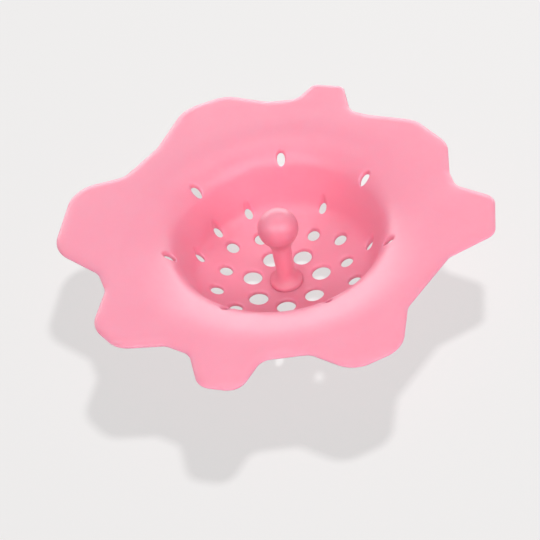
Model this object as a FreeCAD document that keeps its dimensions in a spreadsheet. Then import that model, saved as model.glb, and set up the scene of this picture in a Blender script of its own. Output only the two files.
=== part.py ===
import FreeCAD, Part
import math
import os
import Sketcher

# Sink strainer of soft silicone: a perforated bowl with a lobed rim, and a lift knob that is pushed
# through the floor of the bowl, where it can turn.
# Millimetres and degrees. +Z is up, and the origin lies on the bowl's axis, in the flat underside of the
# knob's head, on which the strainer stands. The front of the strainer faces -Y.

Vector = FreeCAD.Vector
UP = Vector(0, 0, 1)

BOWL_SIZES = {
    "wall": 1.3,
    "seat_radius": 5.0,
    "floor_slope": 29.5,
    "corner_round": 4.3,
    "wall_slope": 68.0,
    "mouth_radius": 29.7,
    "bowl_depth": 22.15,
    "flare_round": 7.5,
    "rim_edge_round": 0.85,
    "rim_under_round": 0.35,
    "bay_round": 4.0,
    "trim_margin": 4.0,
}

KNOB_SIZES = {
    "head_radius": 4.2,
    "head_height": 1.6,
    "head_edge_round": 1.1,
    "shank_radius": 2.2,
    "shank_clearance": 0.05,
    "seat_play": 0.05,
    "flange_radius": 4.4,
    "flange_edge": 0.5,
    "flange_edge_round": 1.0,
    "foot_round": 2.2,
    "stem_root_radius": 2.1,
    "stem_taper": 2.5,
    "neck_round": 7.0,
    "ball_radius": 5.3,
    "ball_height": 19.3,
}

HOLE_SIZES = {
    "holes_per_ring": 7,
    "hole_turn": 5.1,
    "inner_ring_radius": 9.45,
    "inner_hole": 5.0,
    "middle_ring_radius": 16.65,
    "middle_hole": 3.3,
    "between_ring_radius": 18.7,
    "between_hole": 3.3,
    "corner_ring_radius": 23.5,
    "corner_hole": 2.1,
    "wall_ring_radius": 28.7,
    "wall_hole": 2.2,
    "extra_hole_step": 2.5,
}

# Lobes of the rim, counter-clockwise from the right rear one: direction from the axis, reach of the tip,
# width of its straight part and radius of its two corners
LOBE_FIELDS = ("angle", "reach", "flat", "round")
LOBES = [
    (29.5, 51.5, 8.0, 8.0),
    (68.5, 56.0, 5.6, 2.4),
    (105.0, 55.8, 5.0, 9.5),
    (165.5, 57.5, 12.0, 9.0),
    (213.5, 55.5, 3.5, 7.5),
    (249.0, 57.0, 3.6, 4.8),
    (289.0, 55.5, 4.5, 8.0),
    (348.5, 55.6, 9.0, 4.0),
]

# Bays between the lobes, each after the lobe of the same number: direction, distance of the bay's
# bottom from the axis and width of its straight part
BAY_FIELDS = ("angle", "reach", "flat")
BAYS = [
    (54.0, 46.8, 2.5),
    (82.5, 49.5, 5.5),
    (135.5, 47.0, 11.5),
    (193.5, 47.5, 4.5),
    (233.0, 48.2, 4.0),
    (266.5, 47.0, 8.0),
    (318.5, 45.5, 17.5),
    (367.0, 47.0, 3.0),
]

# The largest share of the wall that each edge round of the rim may take
TOP_ROUND_SHARE = 0.65
UNDER_ROUND_SHARE = 0.3

# Heights that several features share, as expressions of the sheet's cells
FLOOR_UNDERSIDE = "(Sizes.head_height + Sizes.seat_play)"
SEAT_HEIGHT = f"({FLOOR_UNDERSIDE} + Sizes.wall)"
RIM_HEIGHT = f"({SEAT_HEIGHT} + Sizes.bowl_depth)"
RIM_UNDERSIDE = f"({RIM_HEIGHT} - Sizes.wall)"
FLANGE_UNDERSIDE = f"({SEAT_HEIGHT} + Sizes.seat_play)"
BORE_RADIUS = "(Sizes.shank_radius + Sizes.shank_clearance)"

# Positions on a sketch's geometry
START, END, CENTRE = range(1, 4)
ORIGIN = (-1, START)

# Two places closer than this are the same
SAME_PLACE = 1e-4

# Degrees in a turn, and the step of a hole that lies midway between two others
FULL_TURN = math.degrees(2 * math.pi)
HALF_STEP = 0.5


def fill_sheet(sheet):
    """Writes every driving size into a cell of its own, with an alias."""
    sizes = {}
    for group in (BOWL_SIZES, KNOB_SIZES, HOLE_SIZES):
        sizes.update(group)
    for number, lobe in enumerate(LOBES, start=1):
        for field, value in zip(LOBE_FIELDS, lobe):
            sizes[f"lobe_{number}_{field}"] = value
    for number, bay in enumerate(BAYS, start=1):
        for field, value in zip(BAY_FIELDS, bay):
            sizes[f"bay_{number}_{field}"] = value
    for row, (alias, value) in enumerate(sizes.items(), start=1):
        sheet.set(f"A{row}", alias)
        sheet.set(f"B{row}", str(value))
        sheet.setAlias(f"B{row}", alias)


def origin_plane(body, role):
    for feature in body.Origin.OriginFeatures:
        if feature.Role == role:
            return feature
    raise ValueError(f"{body.Label} has no {role}")


def new_body(label):
    body = doc.addObject("PartDesign::Body", label)
    body.Label = label
    return body


def new_sketch(body, name, role):
    sketch = body.newObject("Sketcher::SketchObject", name)
    sketch.AttachmentSupport = (origin_plane(body, role), [""])
    sketch.MapMode = "FlatFace"
    return sketch


def size(alias):
    return float(sheet.get(alias))


def polar(distance, angle):
    """A point of a sketch at a distance and a direction in radians from the origin."""
    return Vector(distance * math.cos(angle), distance * math.sin(angle), 0)


def direction(start, end):
    step = end - start
    return math.atan2(step.y, step.x)


def line(start, end):
    """A straight piece of an outline, with the ends by which it is entered and left."""
    return Part.LineSegment(start, end), START, END


def arc(centre, radius, start, end, counter_clockwise):
    """A round piece of an outline from one point to another, with its ends as in line."""
    circle = Part.Circle(centre, UP, radius)
    first = direction(centre, start)
    last = direction(centre, end)
    if counter_clockwise:
        return Part.ArcOfCircle(circle, first, last), START, END
    return Part.ArcOfCircle(circle, last, first), END, START


def add_outline(sketch, pieces, corners):
    """Starts a sketch with a closed chain of pieces, which run smoothly on except after those in corners."""
    count = len(pieces)
    sketch.addGeometry([geometry for geometry, _, _ in pieces], False)
    joins = []
    for index, (_, _, leave) in enumerate(pieces):
        following = (index + 1) % count
        enter = pieces[following][1]
        kind = "Coincident" if index in corners else "Tangent"
        joins.append(Sketcher.Constraint(kind, index, leave, following, enter))
    sketch.addConstraint(joins)


def x_size(geometry, position, value, expression):
    return ("DistanceX", *ORIGIN, geometry, position, value), expression


def y_size(geometry, position, value, expression):
    return ("DistanceY", *ORIGIN, geometry, position, value), expression


def radius_size(geometry, value, expression):
    return ("Radius", geometry, value), expression


def angle_size(geometry, value, expression):
    return ("Angle", geometry, value), expression


def drive(sketch, sizes):
    """Adds sized constraints and binds each to the sheet."""
    first = sketch.ConstraintCount
    sketch.addConstraint([Sketcher.Constraint(*constraint) for constraint, _ in sizes])
    for index, (_, expression) in enumerate(sizes, start=first):
        sketch.setExpression(f"Constraints[{index}]", expression)


def hold(sketch, kind, *geometries):
    sketch.addConstraint([Sketcher.Constraint(kind, geometry) for geometry in geometries])


def centre_beside(point, along, side, offset, other, distance, ahead):
    """Centre of an arc that touches a straight line and a circle.

    The line runs through point in the direction along, the centre lies at offset from it towards side, and
    at distance from the circle's centre other: the first such place along the line, or the last if ahead.
    """
    start = point + side * offset
    gap = start - other
    middle = gap.dot(along)
    reach = math.sqrt(middle ** 2 - gap.dot(gap) + distance ** 2)
    return start + along * (reach - middle if ahead else -reach - middle)


def touching_point(centre, radius, other):
    """The point of a circle in the direction of another centre."""
    return centre + (other - centre).normalize() * radius


def longest_lobe():
    """Reach of the longest lobe, as a number and as an expression."""
    aliases = [f"lobe_{number}_reach" for number, _ in enumerate(LOBES, start=1)]
    expression = "; ".join(f"Sizes.{alias}" for alias in aliases)
    return max(size(alias) for alias in aliases), f"max({expression})"


def dish_radius(mouth, towards_axis, seat):
    """Radius of the dished floor, which reaches floor_slope where a corner arc leads on into the side."""
    slope = math.radians(size("floor_slope"))
    corner = size("corner_round")
    fixed = Vector(size("seat_radius") - corner * math.sin(slope), seat + corner * math.cos(slope), 0)
    growth = Vector(math.sin(slope), 1 - math.cos(slope), 0)
    return (corner - (fixed - mouth).dot(towards_axis)) / growth.dot(towards_axis)


def bowl_profile(body):
    """Half section of the bowl: floor, corner, side and flare in one wall, and a round blank for the rim."""
    wall = size("wall")
    bore = size("shank_radius") + size("shank_clearance")
    underside = size("head_height") + size("seat_play")
    seat = underside + wall
    rim = seat + size("bowl_depth")
    slope = math.radians(size("wall_slope"))
    longest, longest_text = longest_lobe()
    blank = longest + size("trim_margin")

    towards_axis = polar(1, slope + math.pi / 2)
    mouth = Vector(size("mouth_radius"), rim, 0)
    corner_radius = size("corner_round")
    floor_radius = dish_radius(mouth, towards_axis, seat)
    floor_centre = Vector(size("seat_radius"), seat + floor_radius, 0)
    down_dish = polar(1, math.radians(size("floor_slope")) - math.pi / 2)
    corner_centre = floor_centre + down_dish * (floor_radius - corner_radius)
    flare_length = size("flare_round") * math.tan(slope / 2)
    flare_centre = Vector(mouth.x + flare_length, rim - size("flare_round"), 0)

    def surface(depth):
        """Points of the surface that lies at a depth in the wall, from the axis to the blank's edge."""
        return [
            Vector(bore, seat - depth, 0),
            Vector(floor_centre.x, seat - depth, 0),
            floor_centre + down_dish * (floor_radius + depth),
            corner_centre - towards_axis * (corner_radius + depth),
            flare_centre + towards_axis * (size("flare_round") - depth),
            Vector(flare_centre.x, rim - depth, 0),
            Vector(blank, rim - depth, 0),
        ]

    inside = surface(0)
    outside = surface(wall)
    pieces = [
        line(inside[0], inside[1]),
        arc(floor_centre, floor_radius, inside[1], inside[2], True),
        arc(corner_centre, corner_radius, inside[2], inside[3], True),
        line(inside[3], inside[4]),
        arc(flare_centre, size("flare_round"), inside[4], inside[5], False),
        line(inside[5], inside[6]),
        line(inside[6], outside[6]),
        line(outside[6], outside[5]),
        arc(flare_centre, size("flare_round") - wall, outside[5], outside[4], True),
        line(outside[4], outside[3]),
        arc(corner_centre, corner_radius + wall, outside[3], outside[2], False),
        arc(floor_centre, floor_radius + wall, outside[2], outside[1], False),
        line(outside[1], outside[0]),
        line(outside[0], inside[0]),
    ]
    (seat_top, floor, corner, side, flare, rim_top, blank_edge,
     rim_under, flare_under, _, corner_under, floor_under, seat_under, bore_wall) = range(len(pieces))

    sketch = new_sketch(body, "bowl_profile", "XZ_Plane")
    add_outline(sketch, pieces, {rim_top, blank_edge, seat_under, bore_wall})
    hold(sketch, "Horizontal", seat_top, rim_top, rim_under, seat_under)
    hold(sketch, "Vertical", blank_edge, bore_wall)
    for upper, lower in ((floor, floor_under), (corner, corner_under), (flare, flare_under)):
        sketch.addConstraint(Sketcher.Constraint("Coincident", upper, CENTRE, lower, CENTRE))
    mouth_point = sketch.addGeometry(Part.Point(mouth), True)
    for through in (side, rim_top):
        sketch.addConstraint(Sketcher.Constraint("PointOnObject", mouth_point, START, through))

    dish_end = sketch.addGeometry(Part.LineSegment(floor_centre, inside[2]), True)
    sketch.addConstraint(Sketcher.Constraint("Coincident", dish_end, START, floor, CENTRE))
    sketch.addConstraint(Sketcher.Constraint("Coincident", dish_end, END, corner, START))
    drive(sketch, [
        x_size(seat_top, START, bore, BORE_RADIUS),
        x_size(floor, CENTRE, floor_centre.x, "Sizes.seat_radius"),
        x_size(mouth_point, START, mouth.x, "Sizes.mouth_radius"),
        x_size(blank_edge, START, blank, f"{longest_text} + Sizes.trim_margin"),
        y_size(seat_top, START, seat, SEAT_HEIGHT),
        y_size(seat_under, START, underside, FLOOR_UNDERSIDE),
        y_size(rim_top, START, rim, RIM_HEIGHT),
        y_size(rim_under, START, rim - wall, RIM_UNDERSIDE),
        radius_size(corner, corner_radius, "Sizes.corner_round"),
        radius_size(flare, size("flare_round"), "Sizes.flare_round"),
        angle_size(dish_end, direction(floor_centre, inside[2]), "Sizes.floor_slope * 1 deg - 90 deg"),
        angle_size(side, slope, "Sizes.wall_slope * 1 deg"),
    ])
    return sketch


def revolve(body, name, sketch):
    feature = body.newObject("PartDesign::Revolution", name)
    feature.Profile = sketch
    feature.ReferenceAxis = (sketch, ["V_Axis"])
    feature.Angle = FULL_TURN
    doc.recompute()
    return feature


def rim_corners():
    """Corner circles of the rim's outline, counter-clockwise.

    Each is its centre, its radius, whether it rounds a lobe rather than a bay, and the expressions of its
    centre and radius.
    """
    corners = []
    for number, _ in enumerate(LOBES, start=1):
        for kind, radius_alias in (("lobe", f"lobe_{number}_round"), ("bay", "bay_round")):
            is_lobe = kind == "lobe"
            name = f"{kind}_{number}"
            angle = math.radians(size(f"{name}_angle"))
            radius = size(radius_alias)
            shift = -radius if is_lobe else radius
            out = polar(size(f"{name}_reach") + shift, angle)
            out_text = f"(Sizes.{name}_reach {'-' if is_lobe else '+'} Sizes.{radius_alias})"
            angle_text = f"Sizes.{name}_angle * 1 deg"
            for side, sign in ((-1, "-"), (1, "+")):
                across = polar(side * size(f"{name}_flat") / 2, angle + math.pi / 2)
                half = f"{sign} Sizes.{name}_flat / 2 *"
                x_text = f"{out_text} * cos({angle_text}) - ({half} sin({angle_text}))"
                y_text = f"{out_text} * sin({angle_text}) + ({half} cos({angle_text}))"
                corners.append((out + across, radius, is_lobe, (x_text, y_text, f"Sizes.{radius_alias}")))
    return corners


def tangent_ends(corner, following):
    """Ends of the straight piece that leads from one corner circle of the rim to the next."""
    (centre, radius, is_lobe, _) = corner
    (next_centre, next_radius, next_is_lobe, _) = following
    bulge = radius if is_lobe else -radius
    next_bulge = next_radius if next_is_lobe else -next_radius
    step = next_centre - centre
    heading = direction(centre, next_centre) + math.asin((bulge - next_bulge) / step.Length)
    outward = polar(1, heading - math.pi / 2)
    return centre + outward * bulge, next_centre + outward * next_bulge


def rim_trim(body):
    """Cuts the round blank of the rim back to the lobed outline."""
    corners = rim_corners()
    count = len(corners)
    straights = [tangent_ends(corners[index], corners[(index + 1) % count]) for index in range(count)]
    pieces = []
    for index, (centre, radius, is_lobe, _) in enumerate(corners):
        arrival = straights[index - 1][1]
        departure = straights[index][0]
        pieces.append(arc(centre, radius, arrival, departure, is_lobe))
        pieces.append(line(*straights[index]))

    sketch = new_sketch(body, "rim_outline", "XY_Plane")
    add_outline(sketch, pieces, set())
    sizes = []
    for index, (centre, radius, _, (x_text, y_text, radius_text)) in enumerate(corners):
        rounding = 2 * index
        sizes.append(x_size(rounding, CENTRE, centre.x, x_text))
        sizes.append(y_size(rounding, CENTRE, centre.y, y_text))
        sizes.append(radius_size(rounding, radius, radius_text))
    longest, longest_text = longest_lobe()
    clear = longest + 2 * size("trim_margin")
    outer = sketch.addGeometry(Part.Circle(Vector(), UP, clear), False)
    sketch.addConstraint(Sketcher.Constraint("Coincident", *ORIGIN, outer, CENTRE))
    sizes.append(radius_size(outer, clear, f"{longest_text} + 2 * Sizes.trim_margin"))
    drive(sketch, sizes)
    return cut_through(body, "rim_trim", sketch)


def cut_through(body, name, sketch):
    """Cuts a sketch of the XY plane upwards through the whole body."""
    before = body.Shape.Volume
    feature = body.newObject("PartDesign::Pocket", name)
    feature.Profile = sketch
    feature.Type = "ThroughAll"
    feature.Reversed = True
    doc.recompute()
    if not feature.Shape.Volume < before:
        raise ValueError(f"{name} cuts nothing")
    return feature


def outer_edges(shape, height, normal_z):
    """Names of the edges round the outside of the flat face at a height that looks up or down."""
    for face in shape.Faces:
        if not isinstance(face.Surface, Part.Plane):
            continue
        flat = abs(face.CenterOfMass.z - height) < SAME_PLACE
        if flat and face.normalAt(0, 0).z * normal_z > 0:
            wanted = face.OuterWire.Edges
            break
    else:
        raise ValueError(f"no flat face at height {height}")
    names = []
    for index, edge in enumerate(shape.Edges, start=1):
        if any(edge.isSame(other) for other in wanted):
            names.append(f"Edge{index}")
    return names


def round_edges(body, name, base, edges, radius_expression):
    feature = body.newObject("PartDesign::Fillet", name)
    feature.Base = (base, edges)
    feature.setExpression("Radius", radius_expression)
    doc.recompute()
    return feature


def round_rim(body, base):
    """Rounds the rim's edge, more on the top than on the underside."""
    underside = size("head_height") + size("seat_play")
    rim = underside + size("wall") + size("bowl_depth")
    top = round_edges(
        body, "rim_edge_round", base, outer_edges(base.Shape, rim, 1),
        f"min(Sizes.rim_edge_round; {TOP_ROUND_SHARE} * Sizes.wall)",
    )
    under = outer_edges(top.Shape, rim - size("wall"), -1)
    return round_edges(
        body, "rim_under_round", top, under,
        f"min(Sizes.rim_under_round; {UNDER_ROUND_SHARE} * Sizes.wall)",
    )


def add_hole(sketch, ring, hole, step, step_text):
    """Adds a round hole on a ring, a number of hole steps from the first."""
    angle = math.radians(size("hole_turn") + step * FULL_TURN / size("holes_per_ring"))
    angle_text = f"(Sizes.hole_turn + {step_text} * {FULL_TURN} / Sizes.holes_per_ring) * 1 deg"
    centre = polar(size(ring), angle)
    circle = sketch.addGeometry(Part.Circle(centre, UP, size(hole) / 2), False)
    drive(sketch, [
        x_size(circle, CENTRE, centre.x, f"Sizes.{ring} * cos({angle_text})"),
        y_size(circle, CENTRE, centre.y, f"Sizes.{ring} * sin({angle_text})"),
        radius_size(circle, size(hole) / 2, f"Sizes.{hole} / 2"),
    ])


def drain_holes(body):
    """Five rings of upright holes, made from one sector of them, and one more hole on the corner ring."""
    sector = new_sketch(body, "hole_sector", "XY_Plane")
    for ring, hole, step in (
        ("inner_ring_radius", "inner_hole", 0),
        ("middle_ring_radius", "middle_hole", 0),
        ("between_ring_radius", "between_hole", HALF_STEP),
        ("corner_ring_radius", "corner_hole", 0),
        ("wall_ring_radius", "wall_hole", HALF_STEP),
    ):
        add_hole(sector, ring, hole, step, str(step))
    sector_cut = cut_through(body, "sector_cut", sector)

    rings = body.newObject("PartDesign::PolarPattern", "hole_rings")
    rings.Originals = [sector_cut]
    rings.Axis = (sector, ["N_Axis"])
    rings.Angle = FULL_TURN
    rings.setExpression("Occurrences", "Sizes.holes_per_ring")
    body.Tip = rings
    doc.recompute()

    extra = new_sketch(body, "extra_hole", "XY_Plane")
    extra_step = size("extra_hole_step")
    add_hole(extra, "corner_ring_radius", "corner_hole", extra_step, "Sizes.extra_hole_step")
    body.Tip = cut_through(body, "extra_cut", extra)
    doc.recompute()


def build_bowl():
    body = new_body("strainer_bowl")
    revolve(body, "bowl_shell", bowl_profile(body))
    trimmed = rim_trim(body)
    round_rim(body, trimmed)
    drain_holes(body)
    return body


def knob_profile(body):
    """Half section of the knob: head, shank, foot flange, tapering stem and ball."""
    seat = size("head_height") + size("seat_play") + size("wall")
    flange_under = seat + size("seat_play")
    edge_top = flange_under + size("flange_edge")
    head_corner = size("head_radius") - size("head_edge_round")
    taper = math.radians(size("stem_taper"))

    up_stem = polar(1, math.pi / 2 - taper)
    off_stem = polar(1, -taper)
    stem_root = Vector(size("stem_root_radius"), flange_under, 0)
    edge_centre = Vector(size("flange_radius") - size("flange_edge_round"), edge_top, 0)
    ball_centre = Vector(0, seat + size("ball_height"), 0)
    foot_centre = centre_beside(
        stem_root, up_stem, off_stem, size("foot_round"),
        edge_centre, size("flange_edge_round") + size("foot_round"), True,
    )
    neck_centre = centre_beside(
        stem_root, up_stem, off_stem, size("neck_round"),
        ball_centre, size("ball_radius") + size("neck_round"), False,
    )

    foot_edge = touching_point(edge_centre, size("flange_edge_round"), foot_centre)
    stem_low = foot_centre - off_stem * size("foot_round")
    stem_high = neck_centre - off_stem * size("neck_round")
    ball_low = touching_point(ball_centre, size("ball_radius"), neck_centre)
    ball_top = ball_centre + Vector(0, size("ball_radius"), 0)

    head_edge = size("head_edge_round")
    bottom = Vector(head_corner, 0, 0)
    head_side = Vector(size("head_radius"), head_edge, 0)
    shoulder = Vector(size("head_radius"), size("head_height"), 0)
    shank_low = Vector(size("shank_radius"), size("head_height"), 0)
    shank_high = Vector(size("shank_radius"), flange_under, 0)
    flange_low = Vector(size("flange_radius"), flange_under, 0)
    flange_high = Vector(size("flange_radius"), edge_top, 0)
    pieces = [
        line(Vector(), bottom),
        arc(Vector(head_corner, head_edge, 0), head_edge, bottom, head_side, True),
        line(head_side, shoulder),
        line(shoulder, shank_low),
        line(shank_low, shank_high),
        line(shank_high, flange_low),
        line(flange_low, flange_high),
        arc(edge_centre, size("flange_edge_round"), flange_high, foot_edge, True),
        arc(foot_centre, size("foot_round"), foot_edge, stem_low, False),
        line(stem_low, stem_high),
        arc(neck_centre, size("neck_round"), stem_high, ball_low, False),
        arc(ball_centre, size("ball_radius"), ball_low, ball_top, True),
        line(ball_top, Vector()),
    ]
    (base, head_round, head_wall, head_top, shank, flange_base, flange_wall,
     flange_round, foot, stem, neck, ball, axis) = range(len(pieces))

    sketch = new_sketch(body, "knob_profile", "XZ_Plane")
    add_outline(sketch, pieces, {head_wall, head_top, shank, flange_base, ball, axis})
    hold(sketch, "Horizontal", base, head_top, flange_base)
    hold(sketch, "Vertical", head_wall, shank, flange_wall, axis)
    sketch.addConstraint(Sketcher.Constraint("Coincident", *ORIGIN, base, START))
    sketch.addConstraint(Sketcher.Constraint("Vertical", *ORIGIN, ball, CENTRE))
    root_point = sketch.addGeometry(Part.Point(stem_root), True)
    for through in (stem, flange_base):
        sketch.addConstraint(Sketcher.Constraint("PointOnObject", root_point, START, through))

    drive(sketch, [
        x_size(head_wall, START, size("head_radius"), "Sizes.head_radius"),
        x_size(shank, START, size("shank_radius"), "Sizes.shank_radius"),
        x_size(flange_wall, START, size("flange_radius"), "Sizes.flange_radius"),
        x_size(root_point, START, stem_root.x, "Sizes.stem_root_radius"),
        y_size(head_top, START, size("head_height"), "Sizes.head_height"),
        y_size(flange_base, START, flange_under, FLANGE_UNDERSIDE),
        y_size(flange_wall, END, edge_top, f"{FLANGE_UNDERSIDE} + Sizes.flange_edge"),
        y_size(ball, CENTRE, ball_centre.y, f"{SEAT_HEIGHT} + Sizes.ball_height"),
        radius_size(head_round, head_edge, "Sizes.head_edge_round"),
        radius_size(flange_round, size("flange_edge_round"), "Sizes.flange_edge_round"),
        radius_size(foot, size("foot_round"), "Sizes.foot_round"),
        radius_size(neck, size("neck_round"), "Sizes.neck_round"),
        radius_size(ball, size("ball_radius"), "Sizes.ball_radius"),
        angle_size(stem, math.pi / 2 - taper, "90 deg - Sizes.stem_taper * 1 deg"),
    ])
    return sketch


def build_knob():
    body = new_body("lift_knob")
    revolve(body, "knob_solid", knob_profile(body))
    return body


def check_document():
    """Stops if any object of the document failed to build."""
    for thing in doc.Objects:
        if "Invalid" in thing.State or "Error" in thing.State:
            raise ValueError(f"{thing.Label} failed: {thing.State}")


def write_part(body):
    shape = body.Shape
    if shape.isNull() or not shape.isValid() or len(shape.Solids) != 1:
        raise ValueError(f"{body.Label} is not one valid solid")
    print(body.Label, "volume", round(shape.Volume, 1), "box", shape.BoundBox)
    shape.exportStep(f"parts/{body.Label}.step")


doc = FreeCAD.newDocument("sink_strainer")
sheet = doc.addObject("Spreadsheet::Sheet", "Sizes")
fill_sheet(sheet)
doc.recompute()

bodies = [build_bowl(), build_knob()]
doc.recompute()
check_document()
os.makedirs("parts", exist_ok=True)
for piece in bodies:
    write_part(piece)
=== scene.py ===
"""Sink strainer of soft pink silicone: a perforated bowl with a lobed rim, and a ball-topped lift knob.

Metres, in the frame of the packed model: +Z up along the bowl's axis, the front faces -Y.
"""

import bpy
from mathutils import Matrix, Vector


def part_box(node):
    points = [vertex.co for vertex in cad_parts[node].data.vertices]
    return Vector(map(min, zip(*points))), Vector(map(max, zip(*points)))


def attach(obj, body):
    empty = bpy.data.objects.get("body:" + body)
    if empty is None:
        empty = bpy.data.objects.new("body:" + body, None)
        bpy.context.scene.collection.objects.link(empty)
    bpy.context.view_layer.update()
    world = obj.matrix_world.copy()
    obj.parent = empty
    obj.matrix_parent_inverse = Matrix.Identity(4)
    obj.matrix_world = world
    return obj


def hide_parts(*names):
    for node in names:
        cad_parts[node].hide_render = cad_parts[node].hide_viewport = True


bl_info = {
    "name": "Sink strainer",
    "version": (1, 0, 0),
    "blender": (4, 5, 0),
    "location": "3D View > Sidebar > Strainer",
    "description": "Makes a silicone sink strainer with a lobed rim and a lift knob, and its stage",
    "category": "Add Mesh",
}

import bisect
import math

import bmesh
import bpy
from bpy.props import FloatProperty, FloatVectorProperty, IntProperty, PointerProperty
from mathutils import Quaternion, Vector, geometry, kdtree

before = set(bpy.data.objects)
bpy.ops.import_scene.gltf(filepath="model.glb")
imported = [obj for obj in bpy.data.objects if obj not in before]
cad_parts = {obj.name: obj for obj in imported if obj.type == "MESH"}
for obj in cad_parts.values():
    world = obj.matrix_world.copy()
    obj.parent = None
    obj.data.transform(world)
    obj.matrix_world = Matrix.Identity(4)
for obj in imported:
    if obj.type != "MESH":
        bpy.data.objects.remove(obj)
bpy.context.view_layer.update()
BOWL_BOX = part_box("strainer_bowl")
KNOB_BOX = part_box("lift_knob")

MM = 0.001

# Lobes of the rim's outline, counter-clockwise from the right: angle in degrees, and in millimetres the
# reach from the axis, the width of the flat tip and the radius of the tip's corners
LOBES = (
    (29.5, 51.5, 8.0, 8.0),
    (68.5, 56.0, 5.6, 2.4),
    (105.0, 55.8, 5.0, 9.5),
    (165.5, 57.5, 12.0, 9.0),
    (213.5, 55.5, 3.5, 7.5),
    (249.0, 57.0, 3.6, 4.8),
    (289.0, 55.5, 4.5, 8.0),
    (348.5, 55.6, 9.0, 4.0),
)

# Bays between the lobes, each after its lobe: angle, reach and width of the flat bottom
BAYS = (
    (54.0, 46.8, 2.5),
    (82.5, 49.5, 5.5),
    (135.5, 47.0, 11.5),
    (193.5, 47.5, 4.5),
    (233.0, 48.2, 4.0),
    (266.5, 47.0, 8.0),
    (318.5, 45.5, 17.5),
    (367.0, 47.0, 3.0),
)

# Steps of the mesh: points round a drain hole; steps over a hole's rounded edge, along the flare, over the
# rolled lip, round its lower edge and along its underside; sides of a turned piece
HOLE_POINTS = 48
EDGE_STEPS = 6
FLARE_STEPS = 80
LIP_STEPS = 12
LIP_UNDER_STEPS = 4
UNDERSIDE_STEPS = 5
TURNED_SIDES = 128

# Distance between the points of the bowl's section and of the knob's, and between those of the rim's
# outline as a share of the grid's step
PROFILE_STEP = 0.1 * MM
KNOB_STEP = 0.25 * MM
OUTLINE_SHARE = 0.7

# Largest share of a lobe's corner radius that the lip takes up, points to each side over which the lip's
# width is evened out, and distance that the rim keeps inside the outline
LOBE_SHARE = 0.8
LIP_BLUR = 10
INSET = 0.02 * MM

# Share of the grid's step that its points keep from an edge, distance at which two points are one, and the
# kind of filling that leaves out what lies outside the edges
NEAR_EDGE = 0.55
SAME_POINT = 1e-8
INSIDE_ONLY = 1

# Noises of the silicone, with scales per metre: clouds of colour, patches of sheen, fine grain, soft swell
CLOUDS = {"Scale": 70.0, "Detail": 4.0, "Roughness": 0.55}
SHEEN = {"Scale": 220.0, "Detail": 3.0}
GRAIN = {"Scale": 3500.0, "Detail": 2.0}
SWELL = {"Scale": 160.0, "Detail": 2.0}

# Relief that the grain and the swell give the surface
GRAIN_RELIEF = {"Strength": 0.12, "Distance": 0.06 * MM}
SWELL_RELIEF = {"Strength": 0.25, "Distance": 0.3 * MM}

# Part of the clouds that runs from the first colour to the second, and part of the sheen that runs over the
# range of the roughness
CLOUD_RANGE = (0.35, 0.65)
SHEEN_RANGE = (0.3, 0.7)
ROUGHNESS_RANGE = (0.36, 0.42)

# Specks: cells per metre, distances from a cell's point between which a speck fades, value above which a
# cell holds a speck, and strength of the specks
SPECK_SCALE = 120.0
SPECK_FADE = (0.02, 0.04)
SPECK_LIMIT = 0.86
SPECK_STRENGTH = 0.35

# Refraction of the silicone, and depth to which light sinks in, with the share of it for each colour
SILICONE_IOR = 1.5
SINK_DEPTH = 1.4 * MM
SINK_SHARES = (1.0, 0.6, 0.7)

# Sockets of a colour mix
MIX_FIRST = 6
MIX_SECOND = 7
MIX_RESULT = 2

# Stage: half the floor's width, height of the floor, its roughness and gloss, the camera's sensor in
# millimetres and its nearest distance
FLOOR_HALF = 3.0
FLOOR_HEIGHT = -0.05 * MM
FLOOR_ROUGHNESS = 0.5
FLOOR_GLOSS = 0.1
SENSOR_WIDTH = 36.0
NEAR_CLIP = 0.01

# Lamps: name, setting of the power, place, width, height, and whether it lights only the floor or all else
LAMPS = (
    ("key_light", "key_power", (0.28, 0.28, 1.12), 0.12, 0.12, True),
    ("front_light", "front_power", (0.0, -0.68, 0.62), 0.6, 0.5, False),
    ("left_light", "left_power", (-0.50, -0.50, 0.58), 0.5, 0.45, False),
    ("right_light", "right_power", (0.53, -0.56, 0.50), 0.5, 0.45, False),
    ("top_light", "top_power", (0.0, 0.16, 0.80), 0.7, 0.5, False),
    ("back_light", "back_power", (0.0, 0.9, 0.22), 1.6, 0.4, False),
)


# Settings


def number(name, value, description, **limits):
    """A setting that is a plain number."""
    return FloatProperty(name=name, description=description, default=value, **limits)


def length(name, millimetres, description):
    """A setting that is a length."""
    metres = millimetres * MM
    return FloatProperty(
        name=name, description=description, default=metres, min=0.0, unit="LENGTH", precision=5
    )


def angle(name, degrees, description):
    """A setting that is an angle."""
    radians = math.radians(degrees)
    return FloatProperty(name=name, description=description, default=radians, subtype="ANGLE")


def share(name, value, description):
    """A setting from nought to one."""
    return FloatProperty(
        name=name, description=description, default=value, min=0.0, max=1.0, subtype="FACTOR"
    )


def power(name, watts, description):
    """A setting that is the power of a lamp."""
    return FloatProperty(name=name, description=description, default=watts, min=0.0, unit="POWER")


def colour(name, value, description):
    """A setting that is a colour."""
    return FloatVectorProperty(
        name=name, description=description, default=value, min=0.0, max=1.0, size=3, subtype="COLOR"
    )


def position(name, value, description):
    """A setting that is a point."""
    return FloatVectorProperty(
        name=name, description=description, default=value, size=3, unit="LENGTH"
    )


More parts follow.
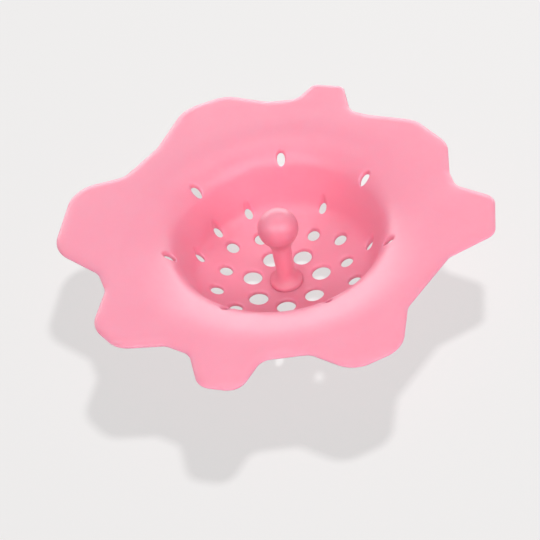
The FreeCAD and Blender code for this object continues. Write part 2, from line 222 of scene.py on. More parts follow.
class StrainerBowlSizes(bpy.types.PropertyGroup):
    """Section of the bowl, and the rounding of its edges."""

    wall: length("Wall", 1.3, "Thickness of the bowl's wall")
    seat_radius: length("Seat radius", 5.0, "Radius of the flat under the knob's foot")
    floor_slope: angle("Floor slope", 26.87, "Slope of the dished floor where it meets the corner")
    corner_round: length("Corner round", 7.41, "Radius between the floor and the side, inside")
    wall_slope: angle("Side slope", 69.57, "Slope of the bowl's side")
    mouth_radius: length("Mouth radius", 29.27, "Radius at which the side would meet the rim's top")
    flare_drop: length("Flare drop", 7.0, "Distance from the mouth down to where the flare begins")
    flare_reach: length("Flare reach", 10.5, "Distance from the mouth at which the soft rim is flat")
    sag: length("Front sag", 1.1, "Depth by which the soft flare sinks at the front")
    sag_inside: length("Sag, inside", 24.0, "Radius at which the sag begins")
    sag_middle: length("Sag, middle", 33.0, "Radius at which the sag is deepest")
    sag_outside: length("Sag, outside", 43.0, "Radius at which the sag ends")
    bore: length("Bore radius", 2.25, "Radius of the hole for the knob's shank")
    bay_round: length("Bay round", 4.0, "Radius of the corners of the bays in the rim's outline")
    lip_width: length("Lip width", 3.0, "Width over which the rim's edge rolls over")
    lip_under: length("Lip underside", 0.35, "Rounding of the rim's lower edge")
    hole_edge: length("Hole edge", 0.78, "Rounding of the drain holes' upper edge")
    hole_under: length("Hole underside", 0.5, "Rounding of the drain holes' lower edge")
    grid: length("Grid", 0.85, "Distance between the points of the bowl's mesh")


class StrainerHoleSizes(bpy.types.PropertyGroup):
    """Rings of drain holes."""

    per_ring: IntProperty(
        name="Holes in a ring", description="Drain holes in each ring", default=7, min=3
    )
    turn: angle("Turn", 5.1, "Angle of the first hole")
    inner_ring: length("Inner ring", 9.45, "Radius of the ring of large holes round the knob")
    inner_hole: length("Inner hole", 5.0, "Diameter of the large holes round the knob")
    middle_ring: length("Middle ring", 16.65, "Radius of the second ring")
    middle_hole: length("Middle hole", 3.3, "Diameter of the holes of the second ring")
    between_ring: length("Between ring", 18.7, "Radius of the ring between the holes of the second")
    between_hole: length("Between hole", 3.3, "Diameter of the holes between")
    corner_ring: length("Corner ring", 23.45, "Radius of the ring at the corner of the bowl")
    corner_hole: length("Corner hole", 2.1, "Diameter of the holes at the corner")
    wall_ring: length("Side ring", 28.9, "Radius of the ring high in the bowl's side")
    wall_hole: length("Side hole", 2.2, "Diameter of the holes in the side")
    extra_step: number("Extra hole", 2.5, "Steps to the one more hole on the corner ring")
    corner_stretch: number("Corner stretch", 1.1, "Length by width of the holes at the corner", min=1.0)
    wall_stretch: number("Side stretch", 1.3, "Length by width of the holes in the side", min=1.0)


class StrainerKnobSizes(bpy.types.PropertyGroup):
    """Section of the lift knob."""

    head_radius: length("Head radius", 4.2, "Radius of the head under the bowl")
    head_height: length("Head height", 1.6, "Height of the head under the bowl")
    head_edge: length("Head edge", 1.1, "Rounding of the head's lower edge")
    shank_radius: length("Shank radius", 2.2, "Radius of the shank in the bowl's floor")
    flange_under: length("Flange underside", 3.0, "Height of the flange's underside")
    flange_radius: length("Flange radius", 4.4, "Radius of the foot flange")
    flange_side: length("Flange side", 0.5, "Height of the flange's upright side")
    flange_edge: length("Flange edge", 1.0, "Rounding of the flange's upper edge")
    foot_round: length("Foot round", 3.6, "Hollow between the flange and the stem")
    root_radius: length("Stem root", 2.1, "Radius at which the stem would meet the flange's underside")
    taper: angle("Stem taper", 2.5, "Slope of the stem's side")
    neck_round: length("Neck round", 7.0, "Hollow between the stem and the ball")
    ball_radius: length("Ball radius", 5.3, "Radius of the ball")


class StrainerFinish(bpy.types.PropertyGroup):
    """Colours of the silicone."""

    bowl: colour("Bowl", (0.886, 0.305, 0.42), "Colour of the bowl's silicone")
    bowl_pale: colour("Bowl, pale", (0.888, 0.318, 0.433), "Colour of the bowl's paler clouds")
    knob: colour("Knob", (0.868, 0.28, 0.384), "Colour of the knob's silicone")
    knob_pale: colour("Knob, pale", (0.87, 0.298, 0.402), "Colour of the knob's paler clouds")
    speck: colour("Specks", (0.62, 0.13, 0.20), "Colour of the few fine specks")


class StrainerStage(bpy.types.PropertyGroup):
    """Floor, light and camera."""

    floor_colour: colour("Floor", (0.875, 0.863, 0.858), "Colour of the floor")
    floor_glow: share("Floor glow", 0.78, "Share of the floor's colour that no shadow dims")
    sky: number("Sky", 0.02, "Strength of the light from all round", min=0.0)
    key_power: power("Key light", 13.5, "Power of the small light above, which lights the floor")
    front_power: power("Front light", 3.1, "Power of the soft light in front")
    left_power: power("Left light", 2.45, "Power of the soft light in front at the left")
    right_power: power("Right light", 3.2, "Power of the soft light in front at the right")
    top_power: power("Top light", 2.25, "Power of the soft light above")
    back_power: power("Back light", 8.2, "Power of the wide low light behind")
    lens: number("Lens", 108.07, "Focal length in millimetres")
    camera_place: position("Camera", (-0.00006, -0.30670, 0.30625), "Place of the camera")
    camera_aim: position("Aim", (-0.00378, -0.01152, 0.01908), "Point that the camera looks at")
    camera_roll: angle("Camera roll", -10.09, "Turn of the camera about its line of sight")


# Sections


def arc_points(centre, radius, start, end, step):
    """Points of an arc in a section, from one angle to another, the last one left out."""
    count = max(2, math.ceil(abs(end - start) * radius / step))
    angles = (start + (end - start) * index / count for index in range(count))
    return [centre + radius * Vector((math.cos(turn), math.sin(turn))) for turn in angles]


def run_points(start, end, step):
    """Points of a straight run in a section, the last one left out."""
    count = max(1, math.ceil((end - start).length / step))
    return [start.lerp(end, index / count) for index in range(count)]


def circle_directions(count):
    """Directions spread evenly over a full turn."""
    turns = (2 * math.pi * index / count for index in range(count))
    return [Vector((math.cos(turn), math.sin(turn))) for turn in turns]


def angle_to(centre, point):
    """Angle of the direction from a centre to a point."""
    return math.atan2(*(point - centre).yx)


def eased(part):
    """A share from nought to one, with a soft start and end."""
    part = min(max(part, 0.0), 1.0)
    return part * part * (3.0 - 2.0 * part)


def read_between(keys, values, wanted):
    """Value at a wanted key, on the straight line between the listed ones on both sides."""
    last = len(keys) - 1
    index = min(max(bisect.bisect_right(keys, wanted), 1), last)
    low, high = keys[index - 1], keys[index]
    part = (wanted - low) / (high - low)
    return values[index - 1] + (values[index] - values[index - 1]) * part


def flare_sag(bowl, x, y):
    """Depth by which the soft flare has sunk: full at the front, half at the sides, none at the back."""
    radius = math.hypot(x, y)
    rise = eased((radius - bowl.sag_inside) / (bowl.sag_middle - bowl.sag_inside))
    fall = eased((bowl.sag_outside - radius) / (bowl.sag_outside - bowl.sag_middle))
    return bowl.sag * rise * fall * (0.5 - 0.5 * y / radius)


class Skin:
    """One side of the bowl's wall: height and length along the section, by distance from the axis."""

    def __init__(self, bowl, points):
        self.bowl = bowl
        self.radii = [point.x for point in points]
        self.heights = [point.y for point in points]
        self.lengths = [self.radii[0]]
        for before, after in zip(points, points[1:]):
            self.lengths.append(self.lengths[-1] + (after - before).length)

    def height(self, radius):
        """Height at a distance from the axis, before the sag."""
        return read_between(self.radii, self.heights, radius)

    def spread(self, x, y):
        """Place of a point on the skin rolled out flat, with its true distance along the section."""
        radius = math.hypot(x, y)
        return Vector((x, y)) * (read_between(self.radii, self.lengths, radius) / radius)

    def place(self, x, y):
        """Point of the skin above or below a point in plan."""
        return Vector((x, y, self.height(math.hypot(x, y)) - flare_sag(self.bowl, x, y)))

    def rings(self, step):
        """Distances from the axis that lie evenly along the section."""
        start, whole = self.lengths[0], self.lengths[-1] - self.lengths[0]
        count = math.ceil(whole / step)
        return [
            read_between(self.lengths, self.radii, start + whole * index / count)
            for index in range(1, count)
        ]


def flare_points(start, corner, end, depth):
    """Points of the soft flare, at a depth below a curve that two straight lines lead into."""
    points = []
    for index in range(FLARE_STEPS):
        part = index / FLARE_STEPS
        heading = (corner - start).lerp(end - corner, part).normalized()
        place = start.lerp(corner, part).lerp(corner.lerp(end, part), part)
        points.append(place + depth * Vector((heading.y, -heading.x)))
    return points


def bowl_skins(bowl, outside):
    """The upper and the under side of the bowl's wall, from the bore to a distance beyond the rim."""
    seat = BOWL_BOX[0].z + bowl.wall
    rim = BOWL_BOX[1].z
    dish, side = bowl.floor_slope, bowl.wall_slope
    mouth = Vector((bowl.mouth_radius, rim))
    inward = Vector((-math.sin(side), math.cos(side)))
    fixed = Vector((
        bowl.seat_radius - bowl.corner_round * math.sin(dish),
        seat + bowl.corner_round * math.cos(dish),
    ))
    growth = Vector((math.sin(dish), 1.0 - math.cos(dish)))
    floor_round = (bowl.corner_round - (fixed - mouth).dot(inward)) / growth.dot(inward)
    floor_centre = Vector((bowl.seat_radius, seat + floor_round))
    corner_centre = fixed + growth * floor_round
    flare_start = mouth - Vector((math.cos(side), math.sin(side))) * bowl.flare_drop
    flare_end = mouth + Vector((bowl.flare_reach, 0.0))
    down = -math.pi / 2

    def skin(depth):
        corner = bowl.corner_round + depth
        seat_inside = Vector((bowl.bore, seat - depth))
        seat_outside = Vector((bowl.seat_radius, seat - depth))
        side_low = corner_centre - inward * corner
        side_high = flare_start - inward * depth
        points = run_points(seat_inside, seat_outside, PROFILE_STEP)
        points += arc_points(floor_centre, floor_round + depth, down, down + dish, PROFILE_STEP)
        points += arc_points(corner_centre, corner, down + dish, down + side, PROFILE_STEP)
        points += run_points(side_low, side_high, PROFILE_STEP)
        points += flare_points(flare_start, mouth, flare_end, depth)
        points += [Vector((flare_end.x, rim - depth)), Vector((outside, rim - depth))]
        return Skin(bowl, points)

    return skin(0.0), skin(bowl.wall)


# Rim outline


def rim_corners(bay_round):
    """Corner circles of the outline, counter-clockwise: centre, radius and whether it rounds a lobe."""
    corners = []
    for lobe, bay in zip(LOBES, BAYS):
        lobe_angle, lobe_reach, lobe_flat, lobe_round = lobe
        bay_angle, bay_reach, bay_flat = bay
        for degrees, reach, flat, radius, is_lobe in (
            (lobe_angle, lobe_reach * MM - lobe_round * MM, lobe_flat, lobe_round * MM, True),
            (bay_angle, bay_reach * MM + bay_round, bay_flat, bay_round, False),
        ):
            out = Vector((math.cos(math.radians(degrees)), math.sin(math.radians(degrees))))
            across = Vector((-out.y, out.x)) * (flat * MM / 2)
            corners.append((out * reach - across, radius, is_lobe))
            corners.append((out * reach + across, radius, is_lobe))
    return corners


def straight_between(corner, following):
    """Ends of the straight piece from one corner circle to the next, and its outward direction."""
    centre, radius, is_lobe = corner
    next_centre, next_radius, next_is_lobe = following
    bulge = radius if is_lobe else -radius
    next_bulge = next_radius if next_is_lobe else -next_radius
    step = next_centre - centre
    heading = math.atan2(step.y, step.x) + math.asin((bulge - next_bulge) / step.length)
    outward = Vector((math.sin(heading), -math.cos(heading)))
    return centre + outward * bulge, next_centre + outward * next_bulge, outward


def rim_outline(bay_round, step):
    """The outline as points with their outward direction, and the widest lip that fits at each."""
    corners = rim_corners(bay_round)
    straights = [straight_between(*pair) for pair in zip(corners, corners[1:] + corners[:1])]
    full = 2 * math.pi
    points, outwards, rooms = [], [], []
    for index, (centre, radius, is_lobe) in enumerate(corners):
        arrive, leave = straights[index - 1][1], straights[index][0]
        start = angle_to(centre, arrive)
        sweep = (angle_to(centre, leave) - start) % full
        if not is_lobe:
            sweep -= full
        pieces = max(3, math.ceil(abs(sweep) * radius / step))
        for piece in range(pieces):
            turn = start + sweep * piece / pieces
            out = Vector((math.cos(turn), math.sin(turn)))
            points.append(centre + out * radius)
            outwards.append(out if is_lobe else -out)
            rooms.append(radius if is_lobe else math.inf)
        begin, end, outward = straights[index]
        run = run_points(begin, end, step)
        points += run
        outwards += [outward] * len(run)
        rooms += [math.inf] * len(run)
    return points, outwards, rooms


def lip_widths(rooms, width):
    """Width of the rolled lip at each point of the outline, narrower round the tight corners."""
    count = len(rooms)
    reach = range(-LIP_BLUR, LIP_BLUR + 1)

    def around(values, index):
        return [values[(index + shift) % count] for shift in reach]

    fitted = [min(width, LOBE_SHARE * room) for room in rooms]
    least = [min(around(fitted, index)) for index in range(count)]
    return [sum(around(least, index)) / len(reach) for index in range(count)]


# Bowl mesh


def hole_list(holes):
    """Centre in plan, radius and stretch away from the axis of every drain hole."""
    found = []
    step = 2 * math.pi / holes.per_ring
    # Radius of the ring, width of its holes, steps to its first hole and stretch
    for ring, width, start, stretch in (
        (holes.inner_ring, holes.inner_hole, 0.0, 1.0),
        (holes.middle_ring, holes.middle_hole, 0.0, 1.0),
        (holes.between_ring, holes.between_hole, 0.5, 1.0),
        (holes.corner_ring, holes.corner_hole, 0.0, holes.corner_stretch),
        (holes.wall_ring, holes.wall_hole, 0.5, holes.wall_stretch),
    ):
        for index in range(holes.per_ring):
            found.append((ring, holes.turn + (index + start) * step, width / 2, stretch))
    extra_turn = holes.turn + holes.extra_step * step
    found.append((holes.corner_ring, extra_turn, holes.corner_hole / 2, holes.corner_stretch))
    return [
        (Vector((ring * math.cos(turn), ring * math.sin(turn))), radius, stretch)
        for ring, turn, radius, stretch in found
    ]


def enclosing(outline):
    """Middle of an outline and its greatest reach from there."""
    middle = sum(outline, Vector((0.0, 0.0))) / len(outline)
    return middle, max((point - middle).length for point in outline)


def within(point, outline, bound):
    """Whether a point lies inside a closed outline."""
    middle, reach = bound
    if (point - middle).length > reach:
        return False
    inside = False
    before = outline[-1]
    for after in outline:
        if (after.y > point.y) != (before.y > point.y):
            crossing = after.x + (point.y - after.y) * (before.x - after.x) / (before.y - after.y)
            if point.x < crossing:
                inside = not inside
        before = after
    return inside


def within_any(point, fields):
    """Whether a point lies inside one of the outlines, each with its bound."""
    return any(within(point, *field) for field in fields)


def closed_edges(outlines):
    """Edges of closed outlines whose points are numbered one after another."""
    edges = []
    first = 0
    for outline in outlines:
        count = len(outline)
        edges += [(first + index, first + (index + 1) % count) for index in range(count)]
        first += count
    return edges


def search_tree(points):
    """A tree that finds the nearest of the points."""
    tree = kdtree.KDTree(len(points))
    for index, point in enumerate(points):
        tree.insert((*point, 0.0), index)
    tree.balance()
    return tree


class BowlMesh:
    """Gathers the points and faces of the bowl."""

    def __init__(self):
        self.mesh = bmesh.new()

    def loop(self, places):
        """New points of the mesh at the given places."""
        return [self.mesh.verts.new(place) for place in places]

    def bridge(self, first, second):
        """Joins two closed loops of equal count by a band of faces."""
        count = len(first)
        for index in range(count):
            following = (index + 1) % count
            self.mesh.faces.new((first[index], first[following], second[following], second[index]))

    def chain(self, loops):
        """Joins closed loops, each to the next."""
        for first, second in zip(loops, loops[1:]):
            self.bridge(first, second)

    def fill(self, skin, outer, inner_loops, step, upward):
        """Fills a side of the wall between its outer loop and the loops of its holes."""
        loops = [outer, *inner_loops]
        outlines = [[skin.spread(vert.co.x, vert.co.y) for vert in loop] for loop in loops]
        flat = [point for outline in outlines for point in outline]
        verts = [vert for loop in loops for vert in loop]
        rim, *holes = [(outline, enclosing(outline)) for outline in outlines]
        nearest = search_tree(flat)
        grid = []
        for ring in skin.rings(step):
            count = math.ceil(2 * math.pi * ring / step)
            offset = (len(grid) % 2) / 2
            for index in range(count):
                turn = 2 * math.pi * (index + offset) / count
                x, y = ring * math.cos(turn), ring * math.sin(turn)
                point = skin.spread(x, y)
                clear = nearest.find((*point, 0.0))[2] >= NEAR_EDGE * step
                if clear and within(point, *rim) and not within_any(point, holes):
                    grid.append((point, skin.place(x, y)))
        flat += [point for point, _ in grid]
        verts += self.loop(place for _, place in grid)
        corners, _, faces, origins, _, _ = geometry.delaunay_2d_cdt(
            flat, closed_edges(outlines), [], INSIDE_ONLY, SAME_POINT
        )
        if len(corners) != len(flat):
            raise RuntimeError("the outlines of the bowl's holes or rim cross")
        for face in faces:
            middle = sum((corners[index] for index in face), Vector((0.0, 0.0))) / len(face)
            if not within_any(middle, holes):
                around = [verts[origins[index][0]] for index in face]
                self.mesh.faces.new(around if upward else around[::-1])


def rounded_edge(skin, rim_point, out, edge, drop):
    """Points over the rounded edge of an upright hole, from the skin to the hole's wall."""
    sharp = skin.place(*rim_point)
    beyond = skin.place(*(rim_point + out * edge))
    tilt = (beyond - sharp).normalized()
    start = skin.place(*(rim_point + out * (edge * math.hypot(tilt.x, tilt.y))))
    end = sharp - Vector((0.0, 0.0, drop))
    places = []
    for index in range(EDGE_STEPS + 1):
        part = index / EDGE_STEPS
        places.append(start * (1 - part) ** 2 + sharp * (2 * part * (1 - part)) + end * part ** 2)
    return places


def make_hole(mesh, skins, centre, radius, stretch, bowl):
    """Adds the walls of a drain hole, and returns the loops where they meet the bowl's two sides."""
    upper, under = skins
    columns = []
    along = centre.normalized()
    for out in circle_directions(HOLE_POINTS):
        rim_point = centre + (out + along * (out.dot(along) * (stretch - 1.0))) * radius
        upright = (upper.height(rim_point.length) - under.height(rim_point.length)) / bowl.wall
        top = rounded_edge(upper, rim_point, out, bowl.hole_edge, bowl.hole_edge * upright)
        low = rounded_edge(under, rim_point, out, bowl.hole_under, -bowl.hole_under * upright)
        columns.append(top + low[::-1])
    loops = [mesh.loop(places) for places in zip(*columns)]
    mesh.chain(loops)
    return loops[0], loops[-1]


def make_lip(mesh, bowl):
    """Adds the rolled edge of the rim, and returns the loops where it meets the bowl's two sides."""
    points, outwards, rooms = rim_outline(bowl.bay_round, bowl.grid * OUTLINE_SHARE)
    widths = lip_widths(rooms, bowl.lip_width)
    rim = BOWL_BOX[1].z
    drop = bowl.wall - bowl.lip_under
    quarter = math.pi / 2
    loops = []

    def add(depths, height):
        inside = [point - out * (depth + INSET) for point, out, depth in zip(points, outwards, depths)]
        loops.append(mesh.loop((*place, height) for place in inside))

    for index in range(LIP_STEPS + 1):
        turn = quarter * index / LIP_STEPS
        add([width * (1 - math.sin(turn)) for width in widths], rim - drop * (1 - math.cos(turn)))
    for index in range(1, LIP_UNDER_STEPS + 1):
        turn = quarter * index / LIP_UNDER_STEPS
        depth = bowl.lip_under * (1 - math.cos(turn))
        add([depth] * len(points), rim - drop - bowl.lip_under * math.sin(turn))
    for index in range(1, UNDERSIDE_STEPS + 1):
        part = index / UNDERSIDE_STEPS
        add([bowl.lip_under + (width - bowl.lip_under) * part for width in widths], rim - bowl.wall)
    mesh.chain(loops[::-1])
    return loops[0], loops[-1]


# Knob mesh


def centre_beside(point, along, side, offset, other, distance, ahead):
    """Centre of an arc that touches a straight line and a circle, first or last along the line."""
    start = point + side * offset
    gap = start - other
    middle = gap.dot(along)
    reach = math.sqrt(middle ** 2 - gap.dot(gap) + distance ** 2)
    return start + along * (reach - middle if ahead else -reach - middle)


def knob_section(knob):
    """Half section of the knob from the middle of its underside to the top of its ball."""
    step = KNOB_STEP
    edge_top = knob.flange_under + knob.flange_side
    up_stem = Vector((math.sin(knob.taper), math.cos(knob.taper)))
    off_stem = Vector((math.cos(knob.taper), -math.sin(knob.taper)))
    root = Vector((knob.root_radius, knob.flange_under))
    edge_centre = Vector((knob.flange_radius - knob.flange_edge, edge_top))
    ball_centre = Vector((0.0, KNOB_BOX[1].z - knob.ball_radius))
    foot_centre = centre_beside(
        root, up_stem, off_stem, knob.foot_round, edge_centre, knob.flange_edge + knob.foot_round, True
    )
    neck_centre = centre_beside(
        root, up_stem, off_stem, knob.neck_round, ball_centre, knob.ball_radius + knob.neck_round, False
    )
    head_corner = Vector((knob.head_radius - knob.head_edge, knob.head_edge))
    head_side = Vector((knob.head_radius, knob.head_edge))
    shoulder = Vector((knob.head_radius, knob.head_height))
    shank_low = Vector((knob.shank_radius, knob.head_height))
    shank_high = Vector((knob.shank_radius, knob.flange_under))
    flange_low = Vector((knob.flange_radius, knob.flange_under))
    flange_high = Vector((knob.flange_radius, edge_top))
    stem_low = foot_centre - off_stem * knob.foot_round
    stem_high = neck_centre - off_stem * knob.neck_round
    to_foot = angle_to(edge_centre, foot_centre)
    to_neck = angle_to(ball_centre, neck_centre)
    foot_end = angle_to(foot_centre, stem_low) - 2 * math.pi
    neck_start = angle_to(neck_centre, stem_high)
    quarter = math.pi / 2

    points = run_points(Vector((0.0, 0.0)), Vector((head_corner.x, 0.0)), step)
    points += arc_points(head_corner, knob.head_edge, -quarter, 0.0, step)
    corners = (head_side, shoulder, shank_low, shank_high, flange_low, flange_high)
    for start, end in zip(corners, corners[1:]):
        points += run_points(start, end, step)
    points += arc_points(edge_centre, knob.flange_edge, 0.0, to_foot, step)
    points += arc_points(foot_centre, knob.foot_round, to_foot - math.pi, foot_end, step)
    points += run_points(stem_low, stem_high, step)
    points += arc_points(neck_centre, knob.neck_round, neck_start, to_neck + math.pi, step)
    points += arc_points(ball_centre, knob.ball_radius, to_neck, quarter, step)
    return points + [Vector((0.0, KNOB_BOX[1].z))]


def turned_mesh(section):
    """A closed mesh turned from a half section that starts and ends on the axis."""
    mesh = bmesh.new()
    bottom = mesh.verts.new((0.0, 0.0, section[0].y))
    top = mesh.verts.new((0.0, 0.0, section[-1].y))
    directions = circle_directions(TURNED_SIDES)
    rings = [
        [mesh.verts.new((out.x * point.x, out.y * point.x, point.y)) for out in directions]
        for point in section[1:-1]
    ]
    for index in range(TURNED_SIDES):
        following = (index + 1) % TURNED_SIDES
        mesh.faces.new((bottom, rings[0][following], rings[0][index]))
        mesh.faces.new((top, rings[-1][index], rings[-1][following]))
        for low, high in zip(rings, rings[1:]):
            mesh.faces.new((low[index], low[following], high[following], high[index]))
    return mesh


def smooth_object(name, mesh):
    """Turns a gathered mesh into a smooth object of the scene."""
    mesh.normal_update()
    data = bpy.data.meshes.new(name)
    mesh.to_mesh(data)
    mesh.free()
    data.shade_smooth()
    piece = bpy.data.objects.new(name, data)
    bpy.context.scene.collection.objects.link(piece)
    return piece


# Finishes


def add_node(tree, kind, **settings):
    """A new node, with its own settings or the values of its inputs by name."""
    node = tree.nodes.new(kind)
    for key, value in settings.items():
        if hasattr(node, key):
            setattr(node, key, value)
        else:
            node.inputs[key.replace("_", " ")].default_value = value
    return node


def noise(tree, place, settings):
    """Strength of a noise at each place."""
    node = add_node(tree, "ShaderNodeTexNoise", **settings)
    tree.links.new(place, node.inputs["Vector"])
    return node.outputs["Fac"]


def spread_over(tree, value, before, after):
    """A value carried from one range over to another."""
    node = add_node(
        tree, "ShaderNodeMapRange",
        From_Min=before[0], From_Max=before[1], To_Min=after[0], To_Max=after[1],
    )
    tree.links.new(value, node.inputs["Value"])
    return node.outputs["Result"]


def computed(tree, operation, value, other, **settings):
    """Result of an operation on a socket and a second socket or number."""
    node = add_node(tree, "ShaderNodeMath", operation=operation, **settings)
    tree.links.new(value, node.inputs[0])
    if isinstance(other, bpy.types.NodeSocket):
        tree.links.new(other, node.inputs[1])
    else:
        node.inputs[1].default_value = other
    return node.outputs["Value"]


def relief(tree, height, settings):
    """A node that tilts the surface's normal by a height."""
    node = add_node(tree, "ShaderNodeBump", **settings)
    tree.links.new(height, node.inputs["Height"])
    return node


def clouded_colour(tree, place, colours):
    """A colour that drifts softly between two."""
    clouds = noise(tree, place, CLOUDS)
    mix = add_node(tree, "ShaderNodeMix", data_type="RGBA")
    mix.inputs[MIX_FIRST].default_value = (*colours[0], 1.0)
    mix.inputs[MIX_SECOND].default_value = (*colours[1], 1.0)
    tree.links.new(spread_over(tree, clouds, CLOUD_RANGE, (0.0, 1.0)), mix.inputs["Factor"])
    return mix.outputs[MIX_RESULT]


def speckled_colour(tree, place, base, speck):
    """A colour with a few fine specks, one in some of the cells."""
    cells = add_node(tree, "ShaderNodeTexVoronoi", Scale=SPECK_SCALE)
    tree.links.new(place, cells.inputs["Vector"])
    near = spread_over(tree, cells.outputs["Distance"], SPECK_FADE, (1.0, 0.0))
    split = add_node(tree, "ShaderNodeSeparateColor")
    tree.links.new(cells.outputs["Color"], split.inputs["Color"])
    few = computed(tree, "GREATER_THAN", split.outputs["Red"], SPECK_LIMIT)
    specks = computed(tree, "MULTIPLY", near, few)
    mix = add_node(tree, "ShaderNodeMix", data_type="RGBA")
    mix.inputs[MIX_SECOND].default_value = (*speck, 1.0)
    tree.links.new(computed(tree, "MULTIPLY", specks, SPECK_STRENGTH), mix.inputs["Factor"])
    tree.links.new(base, mix.inputs[MIX_FIRST])
    return mix.outputs[MIX_RESULT]


def new_material(name):
    """A new material, with its node tree and its shader."""
    material = bpy.data.materials.new(name)
    material.use_nodes = True
    return material, material.node_tree, material.node_tree.nodes["Principled BSDF"]


def silicone(name, colours, speck):
    """Moulded silicone: clouded colour, a few fine specks, a satin grain and light that sinks in."""
    material, tree, shader = new_material(name)
    link = tree.links.new
    place = add_node(tree, "ShaderNodeTexCoord").outputs["Object"]

    clouded = clouded_colour(tree, place, colours)
    link(speckled_colour(tree, place, clouded, speck), shader.inputs["Base Color"])

    sheen = noise(tree, place, SHEEN)
    link(spread_over(tree, sheen, SHEEN_RANGE, ROUGHNESS_RANGE), shader.inputs["Roughness"])

    grain = relief(tree, noise(tree, place, GRAIN), GRAIN_RELIEF)
    swell = relief(tree, noise(tree, place, SWELL), SWELL_RELIEF)
    link(grain.outputs["Normal"], swell.inputs["Normal"])
    link(swell.outputs["Normal"], shader.inputs["Normal"])

    shader.inputs["IOR"].default_value = SILICONE_IOR
    shader.inputs["Subsurface Weight"].default_value = 1.0
    shader.inputs["Subsurface Radius"].default_value = SINK_SHARES
    shader.inputs["Subsurface Scale"].default_value = SINK_DEPTH
    return material


def camera_rays(tree):
    """One for a ray from the camera, from a gloss or through something clear, else nought."""
    rays = add_node(tree, "ShaderNodeLightPath").outputs
    seen = computed(tree, "ADD", rays["Is Camera Ray"], rays["Is Glossy Ray"], use_clamp=True)
    return computed(tree, "ADD", seen, rays["Is Transmission Ray"], use_clamp=True)


def mixed_shader(tree, factor, first, second, target):
    """Leads a mix of two shaders into an output."""
    mix = add_node(tree, "ShaderNodeMixShader")
    tree.links.new(factor, mix.inputs["Fac"])
    tree.links.new(first, mix.inputs[1])
    tree.links.new(second, mix.inputs[2])
    tree.links.new(mix.outputs["Shader"], tree.nodes[target].inputs["Surface"])


def floor_finish(name, tint, glow):
    """A pale satin floor. Part of its colour stays where the object's shadow falls."""
    material, tree, shader = new_material(name)
    shader.inputs["Base Color"].default_value = (*tint, 1.0)
    shader.inputs["Roughness"].default_value = FLOOR_ROUGHNESS
    shader.inputs["Specular IOR Level"].default_value = FLOOR_GLOSS
    light = add_node(tree, "ShaderNodeEmission", Color=(*tint, 1.0))
    amount = computed(tree, "MULTIPLY", camera_rays(tree), glow)
    mixed_shader(tree, amount, shader.outputs["BSDF"], light.outputs["Emission"], "Material Output")
    return material


# Stage


def make_floor(scene, stage):
    """A wide flat floor under the object."""
    half, height = FLOOR_HALF, FLOOR_HEIGHT
    corners = [(-half, -half, height), (half, -half, height), (half, half, height), (-half, half, height)]
    mesh = bpy.data.meshes.new("floor")
    mesh.from_pydata(corners, [], [(0, 1, 2, 3)])
    mesh.materials.append(floor_finish("floor_satin", stage.floor_colour, stage.floor_glow))
    floor = bpy.data.objects.new("floor", mesh)
    scene.collection.objects.link(floor)
    return floor


def make_world(scene, stage):
    """A faint light from all round, and a backdrop in the floor's colour."""
    world = bpy.data.worlds.new("studio")
    scene.world = world
    world.use_nodes = True
    tree = world.node_tree
    sky = tree.nodes["Background"]
    sky.inputs["Color"].default_value = (1.0, 1.0, 1.0, 1.0)
    sky.inputs["Strength"].default_value = stage.sky
    backdrop = add_node(tree, "ShaderNodeBackground", Color=(*stage.floor_colour, 1.0), Strength=1.0)
    shaders = sky.outputs["Background"], backdrop.outputs["Background"]
    mixed_shader(tree, camera_rays(tree), *shaders, "World Output")


def lit_by(name, floor, state):
    """A list of what a lamp lights: only the floor, or all but the floor."""
    lit = bpy.data.collections.new(name)
    lit.objects.link(floor)
    lit.collection_objects[0].light_linking.link_state = state
    return lit


def make_lamps(scene, stage, floor):
    """Soft lamps round the object, and a small one for the floor and the shadow on it."""
    on_floor = lit_by("lit_floor", floor, "INCLUDE")
    off_floor = lit_by("lit_object", floor, "EXCLUDE")
    for name, setting, place, width, height, for_floor in LAMPS:
        lamp = bpy.data.lights.new(name, "AREA")
        lamp.energy = getattr(stage, setting)
        lamp.shape = "RECTANGLE"
        lamp.size = width
        lamp.size_y = height
        holder = bpy.data.objects.new(name, lamp)
        holder.location = place
        holder.light_linking.receiver_collection = on_floor if for_floor else off_floor
        holder.rotation_mode = "QUATERNION"
        holder.rotation_quaternion = (-Vector(place)).to_track_quat("-Z", "Y")
        scene.collection.objects.link(holder)


def make_camera(scene, stage):
    """The camera, at the photograph's viewing angle."""
    lens = bpy.data.cameras.new("photo_camera")
    lens.sensor_width = SENSOR_WIDTH
    lens.lens = stage.lens
    lens.clip_start = NEAR_CLIP
    camera = bpy.data.objects.new("photo_camera", lens)
    place, aim = Vector(stage.camera_place), Vector(stage.camera_aim)
    roll = Quaternion((0.0, 0.0, 1.0), stage.camera_roll)
    camera.location = place
    camera.rotation_mode = "QUATERNION"
    camera.rotation_quaternion = (aim - place).to_track_quat("-Z", "Y") @ roll
    scene.collection.objects.link(camera)
    scene.camera = camera


# Operators


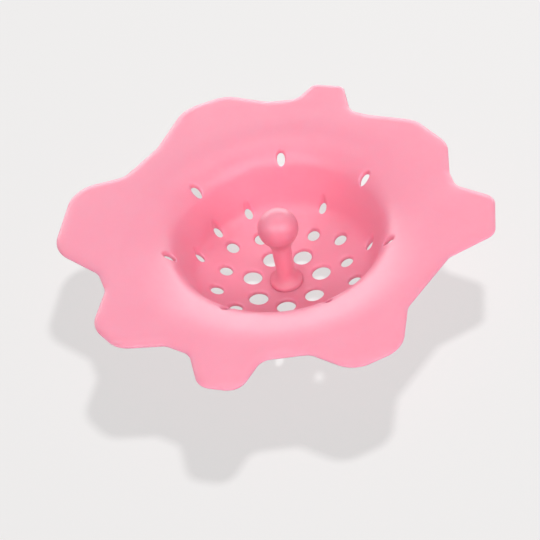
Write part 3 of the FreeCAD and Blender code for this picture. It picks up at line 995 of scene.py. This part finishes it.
class STRAINER_OT_bowl(bpy.types.Operator):
    """Makes the perforated bowl with its lobed rim"""

    bl_idname = "strainer.make_bowl"
    bl_label = "Make bowl"

    def execute(self, context):
        bowl = context.scene.strainer_bowl
        finish = context.scene.strainer_finish
        mesh = BowlMesh()
        top_edge, under_edge = make_lip(mesh, bowl)
        outside = max(math.hypot(vert.co.x, vert.co.y) for vert in top_edge) + bowl.wall
        skins = bowl_skins(bowl, outside)
        top_loops, under_loops = [], []
        for centre, radius, stretch in hole_list(context.scene.strainer_holes):
            top, under = make_hole(mesh, skins, centre, radius, stretch, bowl)
            top_loops.append(top)
            under_loops.append(under)
        turns = circle_directions(HOLE_POINTS)
        bore = [mesh.loop(skin.place(*(out * bowl.bore)) for out in turns) for skin in skins]
        mesh.chain(bore)
        mesh.fill(skins[0], top_edge, [bore[0], *top_loops], bowl.grid, True)
        mesh.fill(skins[1], under_edge, [bore[1], *under_loops], bowl.grid, False)
        piece = smooth_object("bowl_moulding", mesh.mesh)
        colours = (finish.bowl, finish.bowl_pale)
        piece.data.materials.append(silicone("bowl_silicone", colours, finish.speck))
        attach(piece, "bowl")
        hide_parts("strainer_bowl")
        return {"FINISHED"}


class STRAINER_OT_knob(bpy.types.Operator):
    """Makes the ball-topped lift knob"""

    bl_idname = "strainer.make_knob"
    bl_label = "Make knob"

    def execute(self, context):
        finish = context.scene.strainer_finish
        mesh = turned_mesh(knob_section(context.scene.strainer_knob))
        piece = smooth_object("knob_moulding", mesh)
        colours = (finish.knob, finish.knob_pale)
        piece.data.materials.append(silicone("knob_silicone", colours, finish.speck))
        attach(piece, "knob")
        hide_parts("lift_knob")
        return {"FINISHED"}


class STRAINER_OT_stage(bpy.types.Operator):
    """Makes the floor, the light and the camera"""

    bl_idname = "strainer.make_stage"
    bl_label = "Make stage"

    def execute(self, context):
        scene = context.scene
        stage = scene.strainer_stage
        scene.view_settings.view_transform = "Standard"
        floor = make_floor(scene, stage)
        make_world(scene, stage)
        make_lamps(scene, stage, floor)
        make_camera(scene, stage)
        return {"FINISHED"}


class STRAINER_PT_panel(bpy.types.Panel):
    """Lists the sizes, the colours and the steps of the strainer"""

    bl_idname = "STRAINER_PT_panel"
    bl_label = "Sink strainer"
    bl_space_type = "VIEW_3D"
    bl_region_type = "UI"
    bl_category = "Strainer"

    def draw(self, context):
        for operator in OPERATORS:
            self.layout.operator(operator.bl_idname)
        for key, group in GROUPS.items():
            box = self.layout.box()
            box.label(text=group.__doc__)
            for name in group.__annotations__:
                box.prop(getattr(context.scene, key), name)


GROUPS = {
    "strainer_bowl": StrainerBowlSizes,
    "strainer_holes": StrainerHoleSizes,
    "strainer_knob": StrainerKnobSizes,
    "strainer_finish": StrainerFinish,
    "strainer_stage": StrainerStage,
}
OPERATORS = (STRAINER_OT_bowl, STRAINER_OT_knob, STRAINER_OT_stage)
CLASSES = (*GROUPS.values(), *OPERATORS, STRAINER_PT_panel)


def register():
    """Adds the classes, and the settings to the scene."""
    for item in CLASSES:
        bpy.utils.register_class(item)
    for key, group in GROUPS.items():
        setattr(bpy.types.Scene, key, PointerProperty(type=group))


def unregister():
    """Removes the settings and the classes."""
    for key in GROUPS:
        delattr(bpy.types.Scene, key)
    for item in reversed(CLASSES):
        bpy.utils.unregister_class(item)


def main():
    """Makes the strainer and its stage."""
    register()
    bpy.ops.strainer.make_bowl()
    bpy.ops.strainer.make_knob()
    bpy.ops.strainer.make_stage()


if __name__ == "__main__":
    main()
